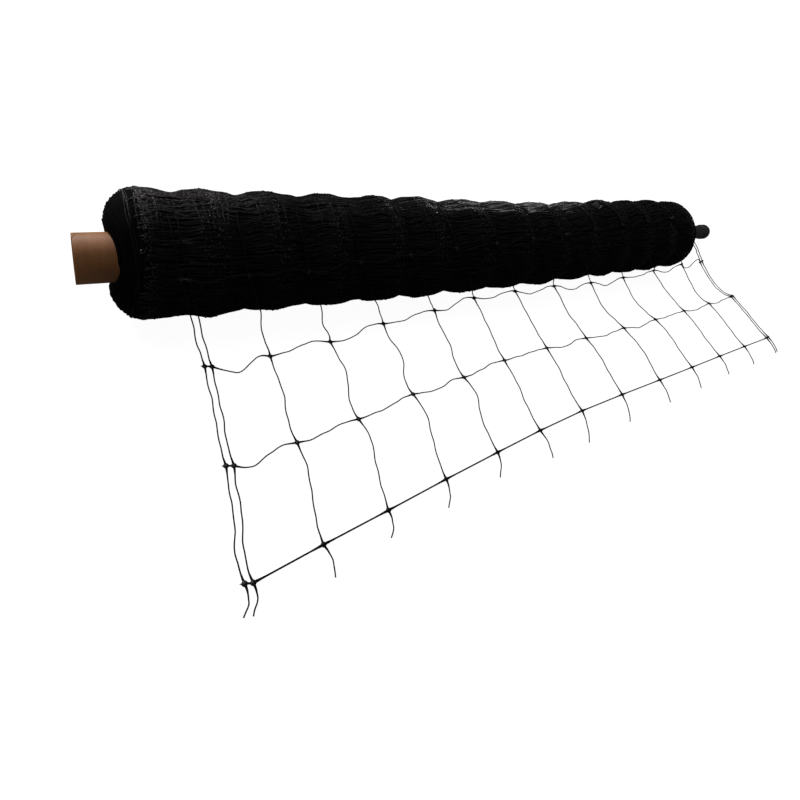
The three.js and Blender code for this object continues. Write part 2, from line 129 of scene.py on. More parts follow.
# Card core, and the plug in its far end
CORE_RADIUS = 47.0
CORE_WALL = 7.0
CORE_HEIGHT = 122.8  # of its axis above the floor, at X = 0
CORE_TILT = 0.0068  # height lost for each mm along +X
CORE_START = -868.0
CORE_END = 925.0
CORE_CUT_EDGE = 0.9  # width of its softened cut edges
PAPER_WIDTH = 120.0  # of the strip that the card is wound from, along the core
SEAT_GAP = 0.4
PLUG_START = 865.0
PLUG_CHAMFER = 1.5
PLUG_RIM = 44.0
RIM_LENGTH = 6.0
RIM_EDGE = 1.0
SHAFT_END = 1072.0
TURNED_SIDES = 96
SMOOTH_ANGLE = math.radians(35)

# Rings of the plug, each a radius and a distance: of the fillet past the rim, and of the shaft's
# collar and of the hole in it short of the shaft's end.
PLUG_FILLET = ((30, 0.4), (24, 3.6), (22, 9.6))
SHAFT_COLLAR = ((22, 28), (24, 26), (25, 23), (25, 4), (23.5, 0))
SHAFT_HOLE = ((14, 0), (13, 2), (13, 14))

# Loose net
STRAND = 3.0
FLOOR_HEIGHT = STRAND / 2
FLOOR_TOUCH = 0.3  # a strand that is less than this above its rest lies on the floor
COLUMN_DRAWN = 0.88  # thickness between knots, as a share of the strand's
ROW_DRAWN = 0.88
TAUT_ROW_DRAWN = 1.08
KNOT_SWELL = 0.9  # how much thicker a strand is at a knot
KNOT_REACH = 12.0  # of that swelling along the strand
KINK_FREE = 22.0  # kinks fade out this near to a knot
LOOSE_KNOT = (6.0, 5.6, 2.6)  # half sizes across the row, along it and outwards
LOOSE_KNOT_POINTED = 0.3  # how far a knot is drawn out along its strands
ROW_DIRECTION = (1.0, 0.15, 0.0)
ROWS = 4
TAUT_ROW = 3
KINKED_ROWS = (1, 2)
SELVEDGE_SHIFT = (13.5, 3.0)  # of the outer strand of each edge pair
BAR_TIP = 8.0
BAR_SHAPE = (0.7, 1.1, 1.9, 1.2, 1.9, 1.1, 0.3)  # thickness from the row to the bar's point
BAR_RAISED = 0.6
NET_CLEARANCE = 1.2  # between the roll and a strand that lies on it
CREST_REACH = 25.0  # a strand on the roll bridges dips within this reach
LEAST_ARC = 0.02  # that a strand lies on the roll below row 0, in radians
TAIL_ANGLE = math.radians(56)  # length of strand above row 0, round the roll
TAIL_DRIFT = 12.0  # along the roll
TAIL_SINK = 3.5  # under the wound strands
LANDING_BELLY = 9.0  # how far a falling strand bows out before the floor
TIP_CURL = 7.0  # sideways belly of a cut end
HANG_HEIGHT = 60.0  # where a row is this high, its slack hangs down fully
HANG_FORWARD = 0.6  # share of the slack that no longer goes forward there
HANG_DOWN = 0.8  # share that goes down instead
DRAPE_HEIGHTS = (6.0, 70.0)  # knots below the first face up, and those above the second off the roll
ARC_STEP = math.radians(8)
TAIL_STEPS = 7
FALL_STEPS = 10
SPAN_STEPS = 12
ROW_STEPS = 10
TIP_STEPS = 6
LOOSE_ROUNDNESS = 2
STRAND_SMOOTHING = 2
BAR_SMOOTHING = 3

# Sheen on top of the roll: angles above the front, places along it in metres, and how much of it shows
# at shares of that length.
SHEEN_RISE = (math.radians(66), math.radians(118))
SHEEN_FALL = (math.radians(118), math.radians(158))
SHEEN_PLACES = (-0.8, 0.9)
SHEEN = ((0.0, 0.2), (0.03, 1.0), (0.11, 0.75), (0.2, 0.42), (0.6, 0.25), (0.75, 0.06), (1.0, 0.05))

# Camera, as fitted to the photograph's frame of 800 by 800, in metres
CAMERA_PLACE = (-0.880, -0.773, 0.995)
CAMERA_TURN = math.radians(45.5)
CAMERA_TILT = math.radians(46.1)
CAMERA_ROLL = math.radians(29.7)
CAMERA_LENS = 25.2
CAMERA_SHIFT = (0.01, -0.1125)

# Floor and lights, in metres. One low soft box behind the roll draws a sheen along the middle of its
# top, and a small one lights the top of the core and of the end beside it.
FLOOR_SIZE = 60
WHITE = (1, 1, 1, 1)
SUN_PLACE = (-0.4, 1.5, 2.4)
SUN_ENERGY = 0.88
SUN_ANGLE = math.radians(70)
SoftBox = namedtuple("SoftBox", "place target energy size spread")
BACK_LIGHT = SoftBox((1.05, 1.5, 0.11), (0.15, 0.05, 0.225), 0.36, (0.4, 0.12), math.radians(21))
CORE_LIGHT = SoftBox((-1.22, 1.13, 0.72), (-0.84, 0.0, 0.17), 0.30, (0.3, 0.3), math.radians(30))

SEED = 41

# Unevenness of the wound net: each wave's height, how many go round, the length along the roll in
# which it shifts by a radian, and its phase.
Wave = namedtuple("Wave", "height count length phase")
LUMPS = (Wave(1.6, 2, 260, 0), Wave(1.0, 3, -170, 0))
BUNCHES = (Wave(0.6, 13, 19, 0.6), Wave(0.8, 5, 11, 0), Wave(0.7, -9, 7.3, 1.7))
RIPPLE_WANDER = Wave(2.2, 2, 170, 0)
RIPPLE_SWELL = Wave(0.45, 3, 61, 0)

# Kinks that a loose strand keeps from lying wound: their size, the angle from point to point, and how
# many times the strand's own phase they shift by.
Kink = namedtuple("Kink", "size step shift")
KINKS = (Kink(0.9, 2.1, 1), Kink(0.6, 1.3, 2))

# A wound edge bar, from its tip through its two knots: how far back each point lies, how it is lifted
# and how thick it is.
BarPoint = namedtuple("BarPoint", "back lift thickness")
WOUND_BAR = [
    BarPoint(0, -1.6, 0.25),
    BarPoint(7, -0.5, 1.0),
    BarPoint(11, 0.3, 1.9),
    BarPoint(16, 0.2, 1.1),
    BarPoint(21, 0.3, 1.8),
    BarPoint(26, 0.0, 1.0),
    BarPoint(36, -1.0, 0.5),
]

# Each wound end: which way it faces, how its shoulder is rounded along the roll and inwards, how far
# its face sinks in beside the core, how far the face is out of true, and the hollow below the core.
End = namedtuple("End", "side length depth dish warp hollow")
NEAR_END = End(-1, 45, 62, 2, 12, 30)
FAR_END = End(1, 40, 43, 6, 2, 0)

# Each winding's place along the roll, how far it stands proud, the dip after it, the dip's skew
# (below 1 it lies nearer to this winding), and how far its net lies off the core's axis towards the
# back.
Winding = namedtuple("Winding", "at proud dip skew bow")
WINDINGS = [
    Winding(-760, -5, 6.5, 1.3, 8),
    Winding(-638, 0, 10, 1.05, 4),
    Winding(-511, -1, 9.5, 1.2, 3),
    Winding(-384, 0, 9, 1.1, -1),
    Winding(-250, 1.5, 10, 0.8, -4),
    Winding(-133, 3, 12, 0.9, -6),
    Winding(0, 1, 8, 0.95, -8),
    Winding(136, 0, 10, 0.8, -8),
    Winding(266, -0.5, 13, 0.8, -9),
    Winding(396, -2, 13, 1.25, -3),
    Winding(523, 0.5, 12.5, 0.9, 2),
    Winding(642, -1, 12, 0.8, 3.5),
    Winding(753, 0.5, 12, 0.85, 5.5),
    Winding(868, -4, 0, 1, 5),
]
FIRST, LAST = WINDINGS[0], WINDINGS[-1]
WOUND_ENDS = ((FIRST, NEAR_END), (LAST, FAR_END))
CRESTS = Winding(*np.array(WINDINGS, float).T)

# Crossings of each lengthwise strand with row 0 on the roll (place, degrees above the front), row 1
# (place and height) and rows 2 and 3 on the floor.
Column = namedtuple("Column", "x0 rise x1 y1 z1 x2 y2 x3 y3")
COLUMNS = [
    Column(-690, 25, -650, -190, 4, -655, -400, -670, -600),
    Column(-583, 27, -530, -186, 5, -530, -384, -540, -578),
    Column(-463, 28, -390, -174, 9, -390, -364, -400, -556),
    Column(-348, 36, -248, -150, 18, -243, -334, -254, -532),
    Column(-227, 41, -102, -138, 30, -93, -318, -104, -509),
    Column(-105, 46, 21, -124, 45, 47, -294, 38, -488),
    Column(17, 50, 160, -120, 50, 202, -281, 193, -469),
    Column(140, 54, 306, -119, 52, 360, -273, 356, -455),
    Column(262, 58, 458, -120, 50, 530, -262, 527, -442),
    Column(385, 62, 601, -117, 55, 689, -252, 692, -429),
    Column(507, 66, 743, -110, 66, 849, -238, 850, -416),
    Column(630, 70, 864, -112, 88, 1004, -226, 1004, -404),
    Column(750, 74, 965, -112, 90, 1152, -214, 1154, -393),
]
FAR_COLUMN = len(COLUMNS) - 1

# Bends of each lengthwise strand towards +X: a belly, an S and a kink where it falls, then a belly,
# an S and a double S between rows 1 and 2 and between rows 2 and 3, and where its cut end lies.
ColumnBend = namedtuple(
    "ColumnBend", "fall fall_ess kink belly1 ess1 double1 belly2 ess2 double2 tip_x tip_y")
COLUMN_BENDS = [
    ColumnBend(-2, 1, 0, -1, 1, -1, -3, 3, -2, -12, -47),
    ColumnBend(0, 3, -2, 1, 3, -2, 4, 4, 0, 2, -57),
    ColumnBend(0, 2, -3, 7, 6, -3, 9, 5, 2, -13, -48),
    ColumnBend(0, 0, 0, 9, 3, -6, 9, 6, 1, -21, -54),
    ColumnBend(-4, 0, 0, 4, 1, -3, 5, 8, 3, -24, -52),
    ColumnBend(-3, 1, 0, 11, 1, 0, 2, 3, 0, -6, -68),
    ColumnBend(-4, 1, 0, 13, 0, 1, 1, 3, 0, -34, -78),
    ColumnBend(-3, 2, 0, 11, -2, 3, 8, 3, 1, -30, -73),
    ColumnBend(-4, 0, 0, 0, -2, 3, 14, 2, -1, -18, -68),
    ColumnBend(-1, 1, 0, 0, -1, 2, 9, 4, 1, -24, -66),
    ColumnBend(4, -2, 0, 20, -2, 1, 4, 3, 1, -20, -62),
    ColumnBend(3, -1, 0, 17, 4, 1, 3, 3, 0, -22, -64),
    ColumnBend(-2, 0, 0, 12, 3, 0, 2, 2, 0, -16, -58),
]

# Bends of the crosswise strands towards the front in each mesh: a belly and an S for row 0, and a
# belly, an S and a double S for rows 1 and 2.
RowBend = namedtuple("RowBend", "belly0 ess0 belly1 ess1 double1 belly2 ess2 double2")
ROW_BENDS = [
    RowBend(3, 5, 16, 10, -4, 5, 9, 1),
    RowBend(-2, 4, -8, 5, 0, 0, 4, 0),
    RowBend(2, 6, 1, 8, -1, 2, 2, -1),
    RowBend(4, 3, 1, 5, -1, 4, 4, -2),
    RowBend(-3, 5, 1, 9, -1, -3, 3, 0),
    RowBend(2, 4, 6, 5, -2, -1, 1, 0),
    RowBend(0, 6, 12, 5, -3, 5, 4, -2),
    RowBend(3, 4, 14, 1, -5, 6, 1, -1),
    RowBend(-2, 5, 15, 1, -5, 8, 2, -2),
    RowBend(1, 4, 8, 1, -1, 1, 1, 0),
    RowBend(2, 5, 15, 1, -4, 7, 2, -1),
    RowBend(0, 4, 8, 14, -4, 3, 3, 0),
]


# Form of the wound roll

def taper_radius(x):
    return ROLL_RADIUS - ROLL_TAPER * np.asarray(x, float)


def axis_height(x):
    return taper_radius(x) - FLOOR_BITE


def winding_radius(x):
    """Radius over the windings and dips, for places between the first and last winding."""
    x = np.clip(np.asarray(x, float), FIRST.at, LAST.at)
    k = np.clip(np.searchsorted(CRESTS.at, x, side="right") - 1, 0, len(WINDINGS) - 2)
    t = (x - CRESTS.at[k]) / (CRESTS.at[k + 1] - CRESTS.at[k])
    crest = taper_radius(x) + (1 - t) * CRESTS.proud[k] + t * CRESTS.proud[k + 1]
    return crest - CRESTS.dip[k] * (1 - np.abs(np.cos(np.pi * t ** CRESTS.skew[k])))


def wave_height(wave, x, angle):
    return wave.height * np.sin(wave.count * angle + x / wave.length + wave.phase)


def unevenness(waves, x, angle):
    return sum(wave_height(wave, x, angle) for wave in waves)


def near_heap(x, angle):
    """The net is heaped up a little on top of the thick end."""
    over_top = np.clip(np.sin(angle - NEAR_HEAP_TURN), 0, 1) ** 2
    return NEAR_HEAP * over_top * np.exp(-((x - FIRST.at) / NEAR_HEAP_LENGTH) ** 2)


def lean(x, angle):
    along = (np.clip(x, FIRST.at, LAST.at) - FIRST.at) / (LAST.at - FIRST.at)
    return WINDING_LEAN * np.sin(np.pi * along) * np.sin(angle)


def bow(x):
    """How far the wound net lies off the core's axis, towards the back."""
    return np.interp(x, CRESTS.at, CRESTS.bow)


def around_axis(x, angle, radius, share=1.0):
    """Points round the roll. Their middle is the roll's own with a share of 1, the core's with 0."""
    x, angle, radius = np.broadcast_arrays(x, angle, radius)
    y = share * bow(x) - radius * np.cos(angle)
    height = share * axis_height(x) + (1 - share) * (CORE_HEIGHT - CORE_TILT * x)
    return np.stack([x, y, height + radius * np.sin(angle)], axis=-1)


def end_rim(winding, end):
    """Radius where the flat face of a wound end meets its rounded shoulder."""
    return taper_radius(winding.at) + winding.proud - end.depth


def face_warp(angle):
    """How an end face is out of true round the core: it stands out most behind the core."""
    bulge = np.maximum(np.cos(angle - BULGE_ANGLE), 0) ** BULGE_POWER
    return np.cos(2 * (angle - WARP_ANGLE)) - bulge


def keep_above(points, height):
    points[..., 2] = np.maximum(points[..., 2], height)
    return points


def wound_points(x, angle, lift):
    """Points on the wound surface, raised by lift and pressed flat by the floor."""
    radius = winding_radius(x) + unevenness(LUMPS, x, angle) + unevenness(BUNCHES, x, angle)
    points = around_axis(x, angle, radius + near_heap(x, angle) + lift)
    points[..., 0] -= lean(x, angle)
    return keep_above(points, WOUND_STRAND / 2)


def end_points(winding, end, rounding, angle, lift):
    """Points on a wound end. The rounding runs from 0 at the face's rim to a quarter turn."""
    x = winding.at + end.side * (end.length + lift) * np.cos(rounding)
    radius = end_rim(winding, end) + (end.depth + lift) * np.sin(rounding)
    uneven = unevenness(LUMPS, winding.at, angle) + unevenness(BUNCHES, x, angle)
    uneven = uneven + near_heap(winding.at, angle)
    points = around_axis(x, angle, radius + np.sin(rounding) * uneven)
    points[..., 0] += end.warp * np.cos(rounding) * face_warp(angle)
    return keep_above(points, WOUND_STRAND / 2)


def edge_points(winding, end, reach, angle, lift):
    """Points by their reach out over a wound end. A reach below zero lies back along the roll."""
    reach, angle, lift = np.broadcast_arrays(np.asarray(reach, float), angle, lift)
    shoulder = QUARTER_TURN * (end.length + end.depth) / 2
    rounding = np.clip(QUARTER_TURN * (1 - reach / shoulder), 0, QUARTER_TURN)
    over = end_points(winding, end, rounding, angle, lift)
    back = wound_points(winding.at + end.side * np.minimum(reach, 0), angle, lift)
    return np.where((reach > 0)[..., None], over, back)


# Making meshes

def activate(piece):
    bpy.ops.object.select_all(action="DESELECT")
    piece.select_set(True)
    bpy.context.view_layer.objects.active = piece


def finish_piece(piece, name, material):
    piece.name = name
    piece.data.name = name
    piece.data.materials.clear()
    piece.data.materials.append(material)
    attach(piece, "root")
    return piece


def apply_modifiers(piece):
    activate(piece)
    for modifier in list(piece.modifiers):
        bpy.ops.object.modifier_apply(modifier=modifier.name)


def vertex_places(mesh):
    places = np.empty(len(mesh.vertices) * 3)
    mesh.vertices.foreach_get("co", places)
    return places.reshape(-1, 3)


def strand_mesh(strands, thickness, roundness=0, closed=False, smooth_steps=0):
    """Round strands through their points, each a pair of points and thickness shares, as one mesh."""
    curve = bpy.data.curves.new("strands", "CURVE")
    curve.dimensions = "3D"
    curve.bevel_depth = thickness * MM / 2
    curve.bevel_resolution = roundness
    curve.use_fill_caps = not closed
    curve.resolution_u = max(smooth_steps, 1)
    for points, shares in strands:
        spline = curve.splines.new("BEZIER" if smooth_steps else "POLY")
        knots = spline.bezier_points if smooth_steps else spline.points
        knots.add(len(points) - 1)
        places = np.asarray(points, float) * MM
        if smooth_steps:
            knots.foreach_set("co", places.ravel())
            for knot in knots:
                knot.handle_left_type = "AUTO"
                knot.handle_right_type = "AUTO"
        else:
            knots.foreach_set("co", np.insert(places, 3, 1.0, axis=1).ravel())
        knots.foreach_set("radius", np.broadcast_to(shares, len(points)).astype(float))
        spline.use_cyclic_u = closed
    piece = bpy.data.objects.new("strands", curve)
    bpy.context.scene.collection.objects.link(piece)
    activate(piece)
    bpy.ops.object.convert(target="MESH")
    bpy.ops.object.shade_smooth()
    return bpy.context.object


def knot_mesh(places, outs, along, size, detail, pointed=0.0):
    """One knot is modelled, and a copy of it is laid at each place, all in one mesh.

    A pointed knot is drawn out along the two strands that cross in it.
    """
    bpy.ops.object.select_all(action="DESELECT")
    bpy.ops.mesh.primitive_ico_sphere_add(subdivisions=detail, radius=1, location=(0, 0, 0))
    piece = bpy.context.object
    ball = piece.data
    shape = vertex_places(ball)
    flat = np.maximum(np.hypot(shape[:, 0], shape[:, 1]), 1e-6)
    drawn = np.maximum((np.abs(shape[:, 0]) + np.abs(shape[:, 1])) / flat, 1) ** -pointed
    shape = shape * np.stack([drawn, drawn, np.ones_like(drawn)], axis=1) * np.array(size)
    faces = np.array([face.vertices[:] for face in ball.polygons])
    outs = outs / np.linalg.norm(outs, axis=1, keepdims=True)
    sides = np.cross(along, outs)
    sides /= np.linalg.norm(sides, axis=1, keepdims=True)
    turned = np.stack([sides, np.cross(outs, sides), outs], axis=1)
    vertices = (places[:, None, :] + np.einsum("vk,nkc->nvc", shape, turned)) * MM
    copies = faces + np.arange(len(places))[:, None, None] * len(shape)
    joined = bpy.data.meshes.new("knots")
    joined.from_pydata(vertices.reshape(-1, 3).tolist(), [], copies.reshape(-1, 3).tolist())
    piece.data = joined
    bpy.data.meshes.remove(ball)
    activate(piece)
    bpy.ops.object.shade_smooth()
    return piece


def join(pieces):
    activate(pieces[0])
    for piece in pieces[1:]:
        piece.select_set(True)
    bpy.ops.object.join()
    return bpy.context.object


# Node helpers

def feed(tree, node, inputs):
    """Each input takes a constant, or a link from another node's socket."""
    for name, value in inputs.items():
        if isinstance(value, bpy.types.NodeSocket):
            tree.links.new(value, node.inputs[name])
        else:
            node.inputs[name].default_value = value


def add_node(tree, kind, label, place, inputs=None, **settings):
    node = tree.nodes.new(kind)
    node.label = label
    node.location = place
    for key, value in settings.items():
        setattr(node, key, value)
    feed(tree, node, inputs or {})
    return node


def object_place(tree, place):
    return add_node(tree, "ShaderNodeTexCoord", "Object place", place).outputs["Object"]


def add_math(tree, label, place, operation, *values):
    inputs = dict(enumerate(values))
    return add_node(tree, "ShaderNodeMath", label, place, inputs, operation=operation).outputs["Value"]


def add_noise(tree, label, place, vector, scale, detail=2, roughness=0.5):
    inputs = {"Vector": vector, "Scale": scale, "Detail": detail, "Roughness": roughness}
    return add_node(tree, "ShaderNodeTexNoise", label, place, inputs).outputs["Fac"]


def add_range(tree, label, place, value, source=(0, 1), target=(0, 1), shape="LINEAR"):
    inputs = {
        "Value": value,
        "From Min": source[0],
        "From Max": source[1],
        "To Min": target[0],
        "To Max": target[1],
    }
    node = add_node(tree, "ShaderNodeMapRange", label, place, inputs, interpolation_type=shape)
    return node.outputs["Result"]


def grey(tone):
    return (tone, tone, tone)


def add_ramp(tree, label, place, factor, stops):
    node = add_node(tree, "ShaderNodeValToRGB", label, place, {"Fac": factor})
    elements = node.color_ramp.elements
    for position, _ in stops[1:-1]:
        elements.new(position)
    for element, (position, colour) in zip(elements, stops):
        element.position = position
        element.color = (*colour, 1)
    return node.outputs["Color"]


def add_mix(tree, label, place, blend, factor, under, over):
    inputs = {"Factor": factor, "A": under, "B": over}
    settings = {"data_type": "RGBA", "blend_type": blend}
    return add_node(tree, "ShaderNodeMix", label, place, inputs, **settings).outputs["Result"]


def add_relief(tree, label, place, height, strength, distance, under=None):
    """A bump of a distance in millimetres, laid over another relief where one is given."""
    inputs = {"Height": height, "Strength": strength, "Distance": distance * MM}
    if under is not None:
        inputs["Normal"] = under
    return add_node(tree, "ShaderNodeBump", label, place, inputs).outputs["Normal"]


def centred_on_axis(tree, label, place, vector, height, slope):
    """Places measured from an axis that runs along X at a height over the origin and falls by a slope."""
    inputs = {"Vector": vector, "Location": (0, 0, height * MM), "Rotation": (0, math.atan(slope), 0)}
    node = add_node(tree, "ShaderNodeMapping", label, place, inputs, vector_type="TEXTURE")
    return node.outputs["Vector"]


def split(tree, place, vector):
    return add_node(tree, "ShaderNodeSeparateXYZ", "Parts", place, {"Vector": vector}).outputs


def seen_or_not(tree, seen, unseen):
    """One shader where the camera looks straight at it, and another for the light that it gives."""
    path = add_node(tree, "ShaderNodeLightPath", "Seen straight", (0, 400))
    inputs = {"Fac": path.outputs["Is Camera Ray"], 1: unseen, 2: seen}
    return add_node(tree, "ShaderNodeMixShader", "Seen or not", (300, 0), inputs).outputs["Shader"]


def new_group(name, scales, results):
    """A node group that reads a place and scales, each with a usual value, and puts out masks."""
    group = bpy.data.node_groups.new(name, "ShaderNodeTree")
    sockets = group.interface
    sockets.new_socket("Vector", in_out="INPUT", socket_type="NodeSocketVector")
    for label, usual in scales.items():
        socket = sockets.new_socket(label, in_out="INPUT", socket_type="NodeSocketFloat")
        socket.default_value = usual
    for label in results:
        sockets.new_socket(label, in_out="OUTPUT", socket_type="NodeSocketFloat")
    return group, add_node(group, "NodeGroupInput", "In", (-1400, 0)).outputs


def new_material(name):
    material = bpy.data.materials.new(name)
    material.use_nodes = True
    return material, material.node_tree, material.node_tree.nodes["Principled BSDF"]


# Materials

def handling_marks_group():
    """Cloudy bloom and fine grain that plastic and card pick up in making and handling."""
    scales = {"Cloud Scale": 20, "Grain Scale": 400}
    group, given = new_group("Handling marks", scales, ("Bloom", "Grain"))
    cloud = add_noise(group, "Cloud", (-400, 150), given["Vector"], given["Cloud Scale"], 5, 0.6)
    grain = add_noise(group, "Grain", (-400, -150), given["Vector"], given["Grain Scale"], 3)
    bloom = add_range(group, "Spread", (-100, 150), cloud, (0.32, 0.68))
    add_node(group, "NodeGroupOutput", "Out", (300, 0), {"Bloom": bloom, "Grain": grain})
    return group


def roll_top_group():
    """Mask for the upper side of the roll, where the strands are dusted and get a painted sheen, in
    flecks.
    """
    scales = {"Fleck Scale": 240, "Patch Scale": 9}
    group, given = new_group("Top of the roll", scales, ("Mask",))
    place = given["Vector"]
    height = float(axis_height(0))
    on_axis = centred_on_axis(group, "Centre on the roll", (-1200, 150), place, height, ROLL_TAPER)
    parts = split(group, (-1000, 150), on_axis)
    front = add_math(group, "To the front", (-820, 50), "MULTIPLY", parts["Y"], -1)
    turn = add_math(group, "Angle above the front", (-640, 150), "ARCTAN2", parts["Z"], front)
    rise = add_range(group, "Rise to the top", (-440, 250), turn, SHEEN_RISE, (0, 1), "SMOOTHSTEP")
    fall = add_range(group, "Fall to the back", (-440, 0), turn, SHEEN_FALL, (1, 0), "SMOOTHSTEP")
    top = add_math(group, "Top", (-240, 150), "MULTIPLY", rise, fall)
    fleck = add_noise(group, "Flecks", (-640, -250), place, given["Fleck Scale"], 4)
    sharp = add_range(group, "Sharpen", (-440, -250), fleck, (0.36, 0.72))
    flecked = add_math(group, "Flecked", (-40, 0), "MULTIPLY", top, sharp)
    patch = add_noise(group, "Patches", (-640, -500), place, given["Patch Scale"])
    spread = add_range(group, "Spread", (-440, -500), patch, (0.3, 0.7), (0.15, 1))
    patched = add_math(group, "Patched", (160, 0), "MULTIPLY", flecked, spread)
    along = add_range(group, "Along the roll", (-640, -750), parts["X"], SHEEN_PLACES)
    stops = [(share, grey(tone)) for share, tone in SHEEN]
    sheen = add_ramp(group, "Sheen along the roll", (-340, -750), along, stops)
    shone = add_math(group, "Shone", (360, 0), "MULTIPLY", patched, sheen)
    add_node(group, "NodeGroupOutput", "Out", (600, 0), {"Mask": shone})
    return group


def add_handling_marks(tree, place, vector, cloud_scale, grain_scale):
    inputs = {"Vector": vector, "Cloud Scale": cloud_scale, "Grain Scale": grain_scale}
    node = add_node(tree, "ShaderNodeGroup", "Handling marks", place, inputs, node_tree=HANDLING_MARKS)
    return node.outputs


def plastic_material(name, dark, bloomed, rough, specular, scales=(60, 900), relief=0.3, dust_and_sheen=None):
    """Extruded plastic: its colour and gloss change with the bloom, over a fine drawn grain.

    With a colour given for the top, the upper side of the roll is dusted and gets a sheen painted into its
    colour.
    """
    material, tree, shader = new_material(name)
    place = object_place(tree, (-1000, 0))
    marks = add_handling_marks(tree, (-750, 0), place, *scales)
    colour = add_ramp(tree, "Bloom colour", (-450, 200), marks["Bloom"], [(0.0, dark), (1.0, bloomed)])
    gloss = add_range(tree, "Gloss", (-450, -50), marks["Bloom"], target=rough)
    grain = add_relief(tree, "Grain relief", (-450, -300), marks["Grain"], relief, 0.4)
    if dust_and_sheen is not None:
        # A pale colour is mixed in on the upper side of the roll: a dusted top and a painted sheen.
        inputs = {"Vector": place}
        top = add_node(tree, "ShaderNodeGroup", "Top of the roll", (-750, 450), inputs, node_tree=ROLL_TOP)
        colour = add_mix(tree, "Dusted top and painted sheen", (-150, 300), "MIX", top.outputs["Mask"], colour, (*dust_and_sheen, 1))
    feed(tree, shader, {
        "Base Color": colour,
        "Roughness": gloss,
        "Normal": grain,
        "Specular IOR Level": specular,
    })
    return material


def card_material():
    """Brown card wound in a spiral: fibres, and a seam between the turns of paper."""
    material, tree, shader = new_material("Brown core card")
    place = object_place(tree, (-1900, 0))
    on_axis = centred_on_axis(tree, "Centre on the core", (-1700, 0), place, CORE_HEIGHT, CORE_TILT)
    parts = split(tree, (-1500, 0), on_axis)
    turn = add_math(tree, "Turn", (-1300, 150), "ARCTAN2", parts["Z"], parts["Y"])
    turns = add_math(tree, "Whole turns", (-1120, 150), "DIVIDE", turn, WHOLE_TURN)
    widths = add_math(tree, "Paper widths", (-1120, -50), "DIVIDE", parts["X"], PAPER_WIDTH * MM)
    spiral = add_math(tree, "Spiral", (-940, 100), "ADD", turns, widths)
    strip = add_math(tree, "Across one strip", (-760, 100), "FRACT", spiral)
    seam = add_ramp(tree, "Seam", (-580, 100), strip, [
        (0.0, grey(0)), (0.012, grey(1)), (0.985, grey(1)), (1.0, grey(0.2)),
    ])
    stretched = {"Vector": on_axis, "Scale": (1.0, 0.25, 0.25)}
    fibres = add_node(tree, "ShaderNodeMapping", "Fibres lie round the core", (-1300, -300), stretched)
    marks = add_handling_marks(tree, (-1000, -300), fibres.outputs["Vector"], 30, 900)
    paper = add_ramp(tree, "Paper", (-580, -150), marks["Bloom"], [
        (0.0, (0.32, 0.128, 0.042)), (0.5, (0.40, 0.165, 0.056)), (1.0, (0.48, 0.205, 0.074)),
    ])
    flecked = add_mix(tree, "Fibre flecks", (-300, -100), "OVERLAY", 0.35, paper, marks["Grain"])
    seamed = add_mix(tree, "Seam shade", (-120, 0), "MULTIPLY", 0.55, flecked, seam)
    gloss = add_range(tree, "Card gloss", (-300, -350), marks["Grain"], target=(0.42, 0.66))
    seam_relief = add_relief(tree, "Seam relief", (-120, -300), seam, 0.6, 0.8)
    relief = add_relief(tree, "Fibre relief", (60, -300), marks["Grain"], 0.25, 0.3, seam_relief)
    feed(tree, shader, {
        "Base Color": seamed,
        "Roughness": gloss,
        "Normal": relief,
        "Specular IOR Level": 0.4,
    })
    return material


def floor_material():
    """A pale floor that looks paper white but throws little light back up at the roll."""
    material, tree, shader = new_material("Pale floor")
    mottle = add_noise(tree, "Faint mottle", (-600, 0), object_place(tree, (-800, 0)), 3)
    tone = add_ramp(tree, "Floor tone", (-350, 0), mottle, [(0.3, grey(0.33)), (0.7, grey(0.35))])
    feed(tree, shader, {
        "Base Color": tone,
        "Roughness": 0.9,
        "Specular IOR Level": 0,
        "Emission Color": WHITE,
        "Emission Strength": 0.96,
    })
    dim = {"Color": (*grey(0.25), 1)}
    bounce = add_node(tree, "ShaderNodeBsdfDiffuse", "Bounced light", (0, -400), dim)
    surface = seen_or_not(tree, shader.outputs["BSDF"], bounce.outputs["BSDF"])
    feed(tree, tree.nodes["Material Output"], {"Surface": surface})
    return material


# Wound roll pieces

def face_rings(winding, end, turn):
    """Rings of an end face from the bore towards its rim, out of true and hollow beside the core."""
    bore = CORE_RADIUS + BORE_GAP
    face = winding.at + end.side * end.length
    hollow = end.hollow * np.maximum(np.cos(turn - HOLLOW_ANGLE), 0) ** 2
    rings = []
    for share in FACE_SHARES:
        warp = end.warp * (FACE_WARP_AT_BORE + (1 - FACE_WARP_AT_BORE) * share)
        x = face - end.side * end.dish * (1 - share) + warp * face_warp(turn) + hollow * (1 - share) ** 2
        rings.append(around_axis(x, turn, bore + share * (end_rim(winding, end) - bore), share))
    return rings


def end_rings(winding, end, turn):
    roundings = np.linspace(0, QUARTER_TURN, ROUNDING_STEPS, endpoint=False)
    shoulder = [end_points(winding, end, rounding, turn, -MASS_SINK) for rounding in roundings]
    return face_rings(winding, end, turn) + shoulder


def mass_rings():
    """Rings from the bore at the near face, over the windings, to the bore at the far face."""
    turn = np.linspace(0, WHOLE_TURN, MASS_SIDES, endpoint=False)
    places = []
    for here, after in zip(WINDINGS, WINDINGS[1:]):
        places += np.linspace(here.at, after.at, STEPS_PER_WINDING, endpoint=False).tolist()
    places.append(float(LAST.at))
    body = [wound_points(np.full(MASS_SIDES, x), turn, -MASS_SINK) for x in places]
    return np.array(end_rings(FIRST, NEAR_END, turn) + body + end_rings(LAST, FAR_END, turn)[::-1])


